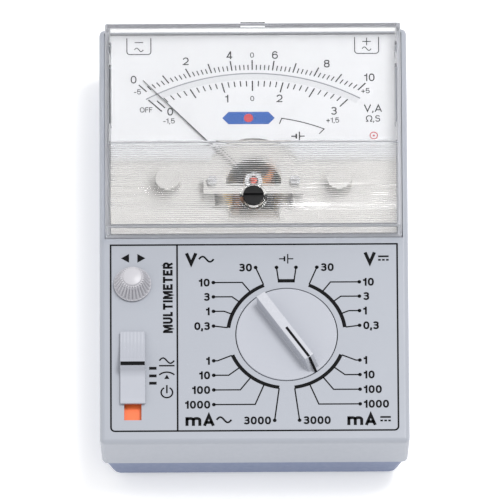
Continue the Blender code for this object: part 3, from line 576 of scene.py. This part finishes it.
def dress_cover():
    """The moulded cover with its ribbed window, cross rib and side catches in one clear body."""
    wall = COVER_WALL
    ceiling = COVER_HIGH.z - wall
    seam = PANEL + FOOT_RISE
    shape = cad_copy("clear_cover")
    everything = [*shape.verts, *shape.edges, *shape.faces]
    bmesh.ops.bisect_plane(shape, geom=everything, plane_co=(0, 0, seam), plane_no=(0, 0, 1), dist=1e-4)
    shell = finished("clear_cover_body", shape, POLYSTYRENE, None)
    shell.data.materials.append(CLEAR_PAINTED_EDGE_LIGHT)
    shell.data.materials.append(CLEAR_PAINTED_FOOT_LIGHT)
    # Painted light: leaning faces, the rounded edges away from the screw hole, take the greyer, cloudier edge
    # copy in place of light caught and bent there.
    for face in shell.data.polygons:
        leaning = max(abs(part) for part in face.normal) < 0.985
        in_foot = face.center.z / MM < seam
        near_screw = (face.center.xy / MM - ZERO_SCREW).length < 6
        # Painted light: faces below the seam take the pale foot copy, standing in for light where the seated
        # wall foot lies in shade.
        face.material_index = 2 if in_foot else int(leaning and not near_screw)
    low_y, high_y = COVER_LOW.y + wall + 0.5, 28.4
    length = 2 * (COVER_HIGH.x - wall) + 0.6
    count = int((high_y - low_y) / RIB_PITCH) + 1
    ribs = grown("cover_ribs", cover_rib_tree(), POLYSTYRENE, None, {
        "Count": count, "Start": (0, low_y * MM, ceiling * MM), "Pitch": RIB_PITCH * MM,
        "Width": 0.66 * MM, "Depth": 0.17 * MM, "Length": length * MM})
    bm = bmesh.new()
    inner = COVER_HIGH.x - wall
    bars = [((-inner - 0.3, 28.75, 35.6), (inner + 0.3, 30.1, ceiling + 0.3))]
    for side in (-1, 1):
        for near, far in ((36.5, 57.5), (61.5, 65.5)):
            xs = sorted((side * (inner - 0.75), side * (inner + 0.3)))
            bars.append(((xs[0], near, 33.6), (xs[1], far, ceiling + 0.3)))
    for (x0, y0, z0), (x1, y1, z1) in bars:
        prism(bm, [(x0, y0), (x1, y0), (x1, y1), (x0, y1)], z0, z1)
    bars = finished("cover_bars", bm, POLYSTYRENE, None)
    bars.data.materials.append(CLEAR_PAINTED_EDGE_LIGHT)
    # The rounded bar edges take the painted edge-light copy as well.
    rounding = bars.modifiers.new("moulded_edges", "BEVEL")
    rounding.width = 0.32 * MM
    rounding.segments = 2
    rounding.material = 1
    bm = bmesh.new()
    dot(bm, *ZERO_SCREW, 3.76, 36.0, 41.0, sides=96)
    hole = finished("cover_hole", bm, POLYSTYRENE, None)
    for tool, operation in ((bars, "UNION"), (ribs, "UNION"), (hole, "DIFFERENCE")):
        modifier = shell.modifiers.new(tool.name, "BOOLEAN")
        modifier.operation = operation
        modifier.object = tool
    mesh = evaluated_mesh(shell)
    for helper in (shell, ribs, bars, hole):
        bpy.data.objects.remove(helper)
    cover = placed("cover_with_ribs", mesh, (POLYSTYRENE, CLEAR_PAINTED_EDGE_LIGHT, CLEAR_PAINTED_FOOT_LIGHT), "case", sharp_degrees=30)
    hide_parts("clear_cover")


# ---- panel printing ----

RING = 18.95
LABEL_X = 23.6
ROWS = {22.5: 23.9, 37.5: 18.6, 52.5: 13.5, 67.5: 8.35, 82.5: 3.2,
        112.5: -9.25, 127.5: -14.4, 142.5: -19.6, 157.5: -24.8, 172.5: -30.5}
LABELS = {22.5: "30", 37.5: "10", 52.5: "3", 67.5: "1", 82.5: "0,3",
          112.5: "1", 127.5: "10", 142.5: "100", 157.5: "1000", 172.5: "3000"}


def wave(x, y, width, height, steps=16):
    """One period of a sine, centred on a point."""
    return [(x + width * (i / steps - 0.5), y + height / 2 * math.sin(2 * math.pi * i / steps))
            for i in range(steps + 1)]


def direct_current(bm, x, y, width, low, high):
    """A line over three dashes."""
    stroke(bm, [(x - width / 2, y + 0.6), (x + width / 2, y + 0.6)], 0.6, low, high)
    dash = width / 4
    for i in (-1, 0, 1):
        centre = x + i * (width - dash) / 2
        stroke(bm, [(centre - dash / 2, y - 0.65), (centre + dash / 2, y - 0.65)], 0.6, low, high)


def battery_symbol(bm, x, y, low, high, scale=1.0):
    """A cell: a short thick bar and a long thin one between two leads."""
    stroke(bm, [(x - 2.3 * scale, y), (x - 0.55 * scale, y)], 0.4, low, high)
    stroke(bm, [(x + 0.5 * scale, y), (x + 2.3 * scale, y)], 0.4, low, high)
    stroke(bm, [(x - 0.55 * scale, y - 0.9 * scale), (x - 0.55 * scale, y + 0.9 * scale)], 0.55, low, high)
    stroke(bm, [(x + 0.5 * scale, y - 1.7 * scale), (x + 0.5 * scale, y + 1.7 * scale)], 0.4, low, high)


def print_panel():
    low, high = PANEL - FEATHER, PANEL + INK_HEIGHT
    bm = bmesh.new()
    half, top, bottom, corner = 46.35, -3.7, -69.9, 1.3
    frame_line = [(-half, top), *arc((-half + corner, bottom + corner), corner, 270, 180, 6),
                  *arc((half - corner, bottom + corner), corner, 180, 90, 6), (half, top)]
    stroke(bm, frame_line, 0.55, low, high, closed=True)
    stroke(bm, [(-24.85, top), (-24.85, bottom)], 0.55, low, high)

    for side in (-1, 1):
        for start, end in ((22.5, 82.5), (112.5, 172.5)):
            stroke(bm, arc(KNOB, RING, side * start, side * end, 24), 1.2, low, high)
        for angle, row in ROWS.items():
            way = Vector((side * math.sin(math.radians(angle)), math.cos(math.radians(angle))))
            bend = KNOB + way * min(row / way.y, LABEL_X / abs(way.x))
            route = [KNOB + way * (RING + 0.3), bend]
            if 30 < angle < 170 and abs(bend.x - KNOB.x) < LABEL_X:
                route.append(Vector((KNOB.x + side * LABEL_X, bend.y)))
            stroke(bm, route, 0.44, low, high)
            dot(bm, *route[-1], 0.62, low, high)
            lettering(bm, LABELS[angle], route[-1].x + side * 1.2, route[-1].y, 2.8, low, high,
                      align=0 if side > 0 else 1, pen=0.22, stretch=0.94)
        way = Vector((side * math.sin(math.radians(7.5)), math.cos(math.radians(7.5))))
        stroke(bm, [KNOB + way * 18.9, KNOB + way * (23.9 / way.y)], 0.44, low, high)
        dot(bm, *(KNOB + way * (23.9 / way.y)), 0.62, low, high)
    stroke(bm, [(KNOB.x - 2.75, KNOB.y + 19.1), (KNOB.x + 2.75, KNOB.y + 19.1)], 1.2, low, high)
    battery_symbol(bm, KNOB.x, KNOB.y + 26.95, low, high)

    volts, amps = -8.85, -66.0
    lettering(bm, "V", -20.3, volts, 4.3, low, high, pen=0.25, stretch=1.05)
    stroke(bm, wave(-15.4, volts, 4.8, 1.9), 0.6, low, high)
    lettering(bm, "V", 37.5, volts, 4.3, low, high, pen=0.25, stretch=1.05)
    direct_current(bm, 41.9, volts + 0.1, 3.4, low, high)
    lettering(bm, "mA", -17.6, amps, 4.2, low, high, pen=0.235, stretch=0.97)
    stroke(bm, wave(-9.9, amps, 4.8, 1.9), 0.6, low, high)
    lettering(bm, "mA", 34.6, amps, 4.2, low, high, pen=0.235, stretch=0.97)
    direct_current(bm, 42.2, amps + 0.1, 3.4, low, high)

    print_left_strip(bm, low, high)
    ink = finished("panel_printing", bm, BLACK_INK, "case")


def print_left_strip(bm, low, high):
    """Arrows over the zero knob, the upright word, the marks beside the slider."""
    row, tall = -8.4, 1.55
    prism(bm, [(-43.0, row), (-40.4, row - tall), (-40.4, row + tall)], low, high)
    prism(bm, [(-35.1, row), (-37.7, row + tall), (-37.7, row - tall)], low, high)
    lettering(bm, "MULTIMETER", -27.9, -22.5, 3.15, low, high, pen=0.24, stretch=0.97, turn=90)
    for y in (-47.6, -50.3, -52.9):
        stroke(bm, [(-34.0, y), (-31.6, y)], 1.0, low, high)
    x = -28.3
    stroke(bm, wave(x, -44.9, 4.8, 1.9), 0.5, low, high)
    stroke(bm, [(x - 2.5, -46.7), (x + 2.5, -46.7)], 0.5, low, high)
    stroke(bm, arc((x, -52.6), 3.6, -43, 43, 12), 0.5, low, high)
    prism(bm, [(x, -49.9), (x - 0.85, -51.4), (x + 0.85, -51.4)], low, high)
    stroke(bm, arc((x, -56.2), 1.85, 28, 332, 24), 0.5, low, high)
    stroke(bm, [(x, -53.6), (x, -56.5)], 0.5, low, high)


# ---- dial ----

SCALE_START, SCALE_END = 45.6, 45.0


def on_arc(angle, arc_y, radius):
    """Distance from the pivot to an arc about (0, arc_y), along a ray at an angle from +Y."""
    way = Vector((math.sin(angle), math.cos(angle)))
    offset = Vector((PIVOT.x, PIVOT.y - arc_y))
    along = offset.dot(way)
    return -along + math.sqrt(along ** 2 - offset.length_squared + radius ** 2)


def print_scale(bm, divisions, every, arc_y, radius, short, long, low, high):
    """Radial ticks over the pointer's swing, standing on an arc; a negative length hangs them from it."""
    for i in range(divisions + 1):
        angle = math.radians(-SCALE_START + (SCALE_START + SCALE_END) * i / divisions)
        way = Vector((math.sin(angle), math.cos(angle)))
        start = on_arc(angle, arc_y, radius)
        major = i % every == 0
        reach = long if major else short
        stroke(bm, [PIVOT + way * start, PIVOT + way * (start + reach)], 0.42 if major else 0.36, low, high)


def print_dial():
    low, high = DIAL - FEATHER, DIAL + INK_HEIGHT
    bm = bmesh.new()
    print_scale(bm, 50, 5, -23.7, 81.4, 1.8, 3.5, low, high)
    print_scale(bm, 30, 5, -18.95, 72.7, -2.0, -3.65, low, high)
    stroke(bm, [(-33.9, 47.0), (-29.6, 42.9)], 0.42, low, high)
    large = {"0": [(-38.75, 54.4), (-26.9, 42.8)], "2": [(-21.8, 60.9), (8.6, 47.4)],
             "4": [(-7.6, 63.0)], "6": [(7.2, 63.0)], "8": [(24.0, 59.8)], "10": [(37.8, 54.8)],
             "1": [(-8.45, 47.4)], "3": [(26.2, 42.8)]}
    small = {"0": [(-0.25, 63.0), (-0.25, 47.4)], "-5": [(-37.5, 50.0)], "+5": [(36.5, 50.0)],
             "OFF": [(-34.7, 43.5)], "-1,5": [(-27.3, 39.5)], "+1,5": [(25.8, 39.5)]}
    for group, height in ((large, 2.75), (small, 1.85)):
        for text, places in group.items():
            for x, y in places:
                lettering(bm, text, x, y, height, low, high, pen=0.14, stretch=0.92)
    lettering(bm, "V,A", 38.9, 43.7, 2.6, low, high, pen=0.14)
    lettering(bm, "Ω,S", 38.9, 40.0, 2.3, low, high, pen=0.14, stretch=0.95)
    for side in (-1, 1):
        x = side * 37.0
        bracket = [(x - 3.9, 70.0 - 0.7), *arc((x - 2.9, 64.4), 1.0, 270, 180, 4),
                   *arc((x + 2.9, 64.4), 1.0, 180, 90, 4), (x + 3.9, 70.0 - 0.7)]
        stroke(bm, bracket, 0.3, low, high)
        stroke(bm, [(x - 1.4, 67.7), (x + 1.4, 67.7)], 0.3, low, high)
        if side > 0:
            stroke(bm, [(x, 66.3), (x, 69.1)], 0.3, low, high)
        stroke(bm, wave(x, 65.1, 2.9, 1.3, 12), 0.28, low, high)
    stroke(bm, [(8.5, 38.2), *arc((0, -18.95), 59.9, 8.9, 22.6, 12), (21.4, 34.6)], 0.32, low, high)
    battery_symbol(bm, 14.5, 33.8, low, high, 0.95)
    finished("dial_printing", bm, FINE_INK, "case")

    bm = bmesh.new()
    centre = (0, -14.2)
    stroke(bm, arc(centre, 69.4, -29.3, 29.3, 48), 2.0, low, high - 0.02)
    finished("mirror_band", bm, PALE_INK, "case")
    bm = bmesh.new()
    stroke(bm, arc(centre, 70.6, -29.5, 29.5, 48), 0.42, low, high)
    finished("mirror_line", bm, GREY_INK, "case")

    bm = bmesh.new()
    prism(bm, [(-8.0, 38.2), (5.0, 38.2), (7.0, 40.4), (5.0, 42.6), (-8.0, 42.6), (-10.0, 40.4)], low, high)
    finished("dial_badge", bm, BLUE_INK, "case")
    bm = bmesh.new()
    dot(bm, -1.5, 40.4, 1.5, low + 0.01, high + 0.02, sides=32)
    stroke(bm, arc((39.1, 33.9), 1.2, 0, 345, 23), 0.32, low, high, closed=True)
    dot(bm, 39.1, 33.9, 0.35, low, high)
    finished("dial_red_marks", bm, RED_INK, "case")


# ---- controls ----

TIP_STRETCH, TAIL_STRETCH = 0.5, 1.2


def dress_range_knob():
    """The disc and its grip, with the grip's upward faces painted paler as painted light on its lit top, and
    the filled index line.
    """
    forward = Vector((math.cos(KNOB_HEADING + math.pi / 2), math.sin(KNOB_HEADING + math.pi / 2)))
    shape = cad_copy("range_knob")
    for vert in shape.verts:
        reach = (vert.co.xy - KNOB).dot(forward)
        if vert.co.z > KNOB_DISC + 0.3 and abs(reach) > 10:
            vert.co.xy += forward * math.copysign(TIP_STRETCH if reach > 0 else TAIL_STRETCH, reach)
    knob = refined("range_knob", KNOB_ABS, "range_knob", edge=0.45, segments=3, shape=shape)
    knob.data.materials.append(PAINTED_LIT_TOP_ABS)
    top = box("range_knob")[1].z
    # Painted light: the grip's upward faces take the paler copy, standing in for light on the top of the
    # grip.
    for face in knob.data.polygons:
        on_grip = face.center.z / MM > KNOB_DISC + 0.6
        face.material_index = int(on_grip and face.normal.z > 0.6)
    bm = bmesh.new()
    heading = Matrix.Rotation(KNOB_HEADING + math.pi / 2, 4, "Z")
    half, sunk, proud = 0.42, 0.15, 0.03
    rows = []
    for reach, z in ((-0.2, top), (12.4, top), (16.5, KNOB_DISC + 0.12)):
        across = [Vector((reach, side * half, z + dz)) for side in (-1, 1) for dz in (proud, -sunk)]
        rows.append([bm.verts.new(Vector((*KNOB, 0)) + heading @ v) for v in across])
    for a, b in zip(rows, rows[1:]):
        for i, j in ((0, 1), (1, 3), (3, 2), (2, 0)):
            bm.faces.new((a[i], a[j], b[j], b[i]))
    for row in (rows[0], rows[-1]):
        bm.faces.new([row[i] for i in (0, 1, 3, 2)])
    finished("range_knob_line", bm, BLACK_INK, "range_knob", recalc=True)


def dress_zero_knob():
    low, _ = box("zero_knob")
    x, y = ZERO_KNOB
    height = 5.2
    cone = grown("zero_knob_flutes", fluted_cone_tree(), PALE_ABS, "zero_knob", {
        "Flutes": 28, "Flute Depth": 0.6 * MM, "Low Radius": 6.05 * MM, "High Radius": 3.75 * MM,
        "Height": height * MM, "Place": (x * MM, y * MM, (low.z + 0.4) * MM)}, sharp_degrees=50)
    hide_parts("zero_knob")
    bm = bmesh.new()
    profile = [(0, 37.7), (2.6, 37.7), (2.95, 37.55), (3.1, 37.2), (3.1, 36.6), (3.55, 36.4),
               (3.9, 36.2), (3.9, 35.8), (0, 35.8)]
    lathe(bm, profile, x, y)
    finished("zero_knob_cap", bm, PALE_ABS, "zero_knob", recalc=True)
    bm = bmesh.new()
    lathe(bm, [(0, low.z + 0.5), (6.05, low.z + 0.5), (6.05, low.z + 0.1), (5.9, low.z), (0, low.z)], x, y)
    finished("zero_knob_skirt", bm, PALE_ABS, "zero_knob", recalc=True)


def lathe(bm, profile, x, y, steps=64):
    """A turned solid about a vertical axis from a profile of (radius, z)."""
    rings = []
    for radius, z in profile:
        count = steps if radius else 1
        rings.append([bm.verts.new((x + radius * math.cos(2 * math.pi * i / count),
                                    y + radius * math.sin(2 * math.pi * i / count), z))
                      for i in range(count)])
    for a, b in zip(rings, rings[1:]):
        for i in range(steps):
            j = (i + 1) % steps
            corners = [a[i % len(a)], a[j % len(a)], b[j % len(b)], b[i % len(b)]]
            kept = [c for k, c in enumerate(corners) if c not in corners[:k]]
            if len(kept) > 2:
                bm.faces.new(kept)


def dress_slider():
    """The switch cap: fine grooves along its far half, a thumb crest with a black line, a hollow."""
    low, high = box("slider_cap")
    foot, crest = PANEL + 0.3, high.z
    line_at = -47.35
    profile = [(high.y, foot + 0.9), (high.y - 3.5, foot + 1.0), (line_at + 7.5, foot + 1.15),
               (line_at + 4.6, foot + 1.7), (line_at + 2.4, foot + 2.7), (line_at + 0.9, crest - 0.06),
               (line_at, crest), (line_at - 0.75, crest - 0.1), (line_at - 1.15, crest - 0.6),
               (line_at - 1.7, foot + 1.75), (line_at - 2.6, foot + 1.05), (line_at - 4.2, foot + 0.75),
               (line_at - 7.0, foot + 0.75), (low.y + 2.0, foot + 0.85), (low.y, foot + 0.85)]
    columns = 57
    bm = bmesh.new()
    rows = []
    for y, z in profile:
        grooved = 0.05 if y > line_at + 1.5 and y < high.y - 0.5 else 0.0
        rows.append([])
        for i in range(columns):
            across = i / (columns - 1)
            ripple = grooved * math.cos(2 * math.pi * 7 * across)
            rows[-1].append(bm.verts.new((low.x + (high.x - low.x) * across, y, z + ripple)))
    for a, b in zip(rows, rows[1:]):
        for i in range(columns - 1):
            bm.faces.new((a[i], b[i], b[i + 1], a[i + 1]))
    rim = bmesh.ops.extrude_edge_only(bm, edges=[e for e in bm.edges if e.is_boundary])["geom"]
    for vert in (part for part in rim if isinstance(part, bmesh.types.BMVert)):
        vert.co.z = foot
    bmesh.ops.holes_fill(bm, edges=[e for e in bm.edges if e.is_boundary])
    prism(bm, [(low.x + 2.5, -51.0), (high.x - 2.5, -51.0), (high.x - 2.5, -45.0), (low.x + 2.5, -45.0)],
          low.z, foot + 0.2)
    draft = finished("slider_draft", bm, KNOB_ABS, None, recalc=True)
    bevel = draft.modifiers.new("softened_edges", "BEVEL")
    bevel.width = 0.25 * MM
    bevel.segments = 2
    bevel.angle_limit = math.radians(50)
    mesh = evaluated_mesh(draft)
    bpy.data.objects.remove(draft)
    cap = placed("slider_cap_grooved", mesh, KNOB_ABS, "power_slider", sharp_degrees=50)
    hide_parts("slider_cap")
    bm = bmesh.new()
    half, near, far = (high.x - low.x) / 2 - 0.12, line_at - 0.8, line_at + 0.45
    x = (low.x + high.x) / 2
    outline = [(x - half, near), (x + half, near), (x + half, far), (x - half, far)]
    prism(bm, outline, crest - 0.4, crest + 0.04)
    finished("slider_line", bm, BLACK_INK, "power_slider")
    clean("on_indicator", ORANGE_ABS)


# ---- movement ----

ARM_START, ARM_SLIMMING = 8, 0.4


def dress_movement():
    for node, material in {
            "dial_plate": DIAL_WHITE, "circuit_board": SOLDER_MASK}.items():
        clean(node, material)
    for node, material, edge in (
            ("meter_carrier", WHITE_NYLON, 0.2), ("magnet_yoke", ZINC_STEEL, 0.3),
            ("core_magnet", DARK_MAGNET, 0.3), ("top_bridge", WHITE_NYLON, 0.1),
            ("zero_lever", BRIGHT_STEEL, 0.08), ("meter_terminals", BROWN_PHENOLIC, 0.2),
            ("zero_screw", BLACK_NYLON, 0.2), ("core_bracket", BRASS, 0.1)):
        body = {"zero_lever": "zero_lever", "zero_screw": "zero_screw"}.get(node, "case")
        refined(node, material, body, edge)
    for node in ("bridge_screw_1", "bridge_screw_2"):
        refined(node, BRIGHT_STEEL, "case", 0.12)
    refined("upper_jewel_screw", RED_LACQUER, "case", 0.1)
    along = Vector((-math.sin(POINTER_ANGLE), math.cos(POINTER_ANGLE)))
    shape = cad_copy("pointer")
    for vert in shape.verts:
        arm = vert.co.xy - PIVOT
        if arm.dot(along) > ARM_START:
            vert.co.xy -= (arm - along * arm.dot(along)) * ARM_SLIMMING
    refined("pointer", POINTER_BLACK, "pointer", 0.03, shape=shape)
    refined("moving_coil", COPPER_WIRE, "pointer", 0.3)
    tree = hairspring_tree()
    for node in ("upper_hairspring", "lower_hairspring"):
        centre = middle(node)
        spring = grown(node + "_wound", tree, BRASS, "case", {
            "Turns": 4.0, "Inner": 0.9 * MM, "Outer": 3.5 * MM, "Wire": 0.1 * MM,
            "Place": (PIVOT.x * MM, PIVOT.y * MM, centre.z * MM)})
        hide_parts(node)


# ---- hidden and back pieces ----

def dress_rest():
    finishes = {
        BLACK_NYLON: ["minus_socket", "plus_socket", "zero_pot_body", "slide_switch_body", "amplifier_chip",
                      "minus_meter_lead", "plus_meter_lead", "minus_socket_lead"],
        RED_PVC: ["plus_socket_lead"],
        BRASS: ["minus_contact", "plus_contact", "bottom_bridge", "lower_jewel_screw", "fuse_holder",
                "wiper_contacts", "contact_tracks"],
        BRIGHT_STEEL: ["case_screw_1", "case_screw_2", "case_screw_3", "case_screw_4", "board_screw_1",
                       "board_screw_2", "detent_spring", "battery_spring", "battery_plate",
                       "upper_spindle", "lower_spindle", "fuse"],
        WHITE_NYLON: ["range_rotor", "detent_ring", "zero_pot_shaft"],
        BLUE_RESIN: ["trimmer", "capacitor"],
        AMBER_RESIN: ["resistor_network"],
        BATTERY_WRAP: ["battery"],
    }
    for material, nodes in finishes.items():
        for node in nodes:
            clean(node, material)


# ---- studio ----

TOWARDS_CAMERA = (0, -0.4226, 0.906)
VIEW_DISTANCE = 7.0
FRAME_PER_MM = 3.09
FRAME_WIDTH = 500


def make_studio():
    """A pale floor that glows a little like a light table, a soft key, a fill and the camera."""
    material, tree = new_material("pale_floor")
    shader = add(tree, "ShaderNodeBsdfPrincipled", Roughness=0.7, Emission_Strength=0.22,
                 Emission_Color=linear("#FFFFFF"),
                 Base_Color=tinted(tree, grain(tree, 40.0), "#FFFFFF", "#FDFDFD"))
    close(tree, shader.outputs[0])
    bm = bmesh.new()
    bmesh.ops.create_grid(bm, x_segments=1, y_segments=1, size=3000)
    floor = finished("floor", bm, material, None)

    world = bpy.data.worlds.new("studio")
    world.use_nodes = True
    world.node_tree.nodes["Background"].inputs["Color"].default_value = linear("#FFFFFF")
    world.node_tree.nodes["Background"].inputs["Strength"].default_value = 0.82
    bpy.context.scene.world = world

    for name, place, size, power in (
            ("key", (0.36, 0.22, 1.14), 0.42, 7.7),
            ("fill", (-0.9, -0.6, 0.9), 0.9, 1.7)):
        light = bpy.data.lights.new(name, "AREA")
        light.size = size
        light.energy = power
        lamp = bpy.data.objects.new(name, light)
        lamp.location = place
        lamp.rotation_euler = (-Vector(place)).to_track_quat("-Z", "Y").to_euler()
        bpy.context.scene.collection.objects.link(lamp)

    back = Vector(TOWARDS_CAMERA).normalized()
    up = (Vector((0, 1, 0)) - back * back.y).normalized()
    right = up.cross(back)
    lean = math.radians(0.3)
    up, right = (up * math.cos(lean) + right * math.sin(lean),
                 right * math.cos(lean) - up * math.sin(lean))
    target = Vector((-1.24, -5.64, PANEL)) * MM
    camera = bpy.data.cameras.new("camera")
    camera.sensor_width = 36
    camera.lens = FRAME_PER_MM * VIEW_DISTANCE / MM * camera.sensor_width / FRAME_WIDTH
    camera.clip_end = 20
    holder = bpy.data.objects.new("camera", camera)
    turn = Matrix((right, up, back)).transposed().to_4x4()
    holder.matrix_world = Matrix.Translation(target + back * VIEW_DISTANCE) @ turn
    bpy.context.scene.collection.objects.link(holder)
    bpy.context.scene.camera = holder
    bpy.context.scene.view_settings.view_transform = "Standard"


dress_case()
dress_cover()
print_panel()
print_dial()
dress_range_knob()
dress_zero_knob()
dress_slider()
dress_movement()
dress_rest()
make_studio()
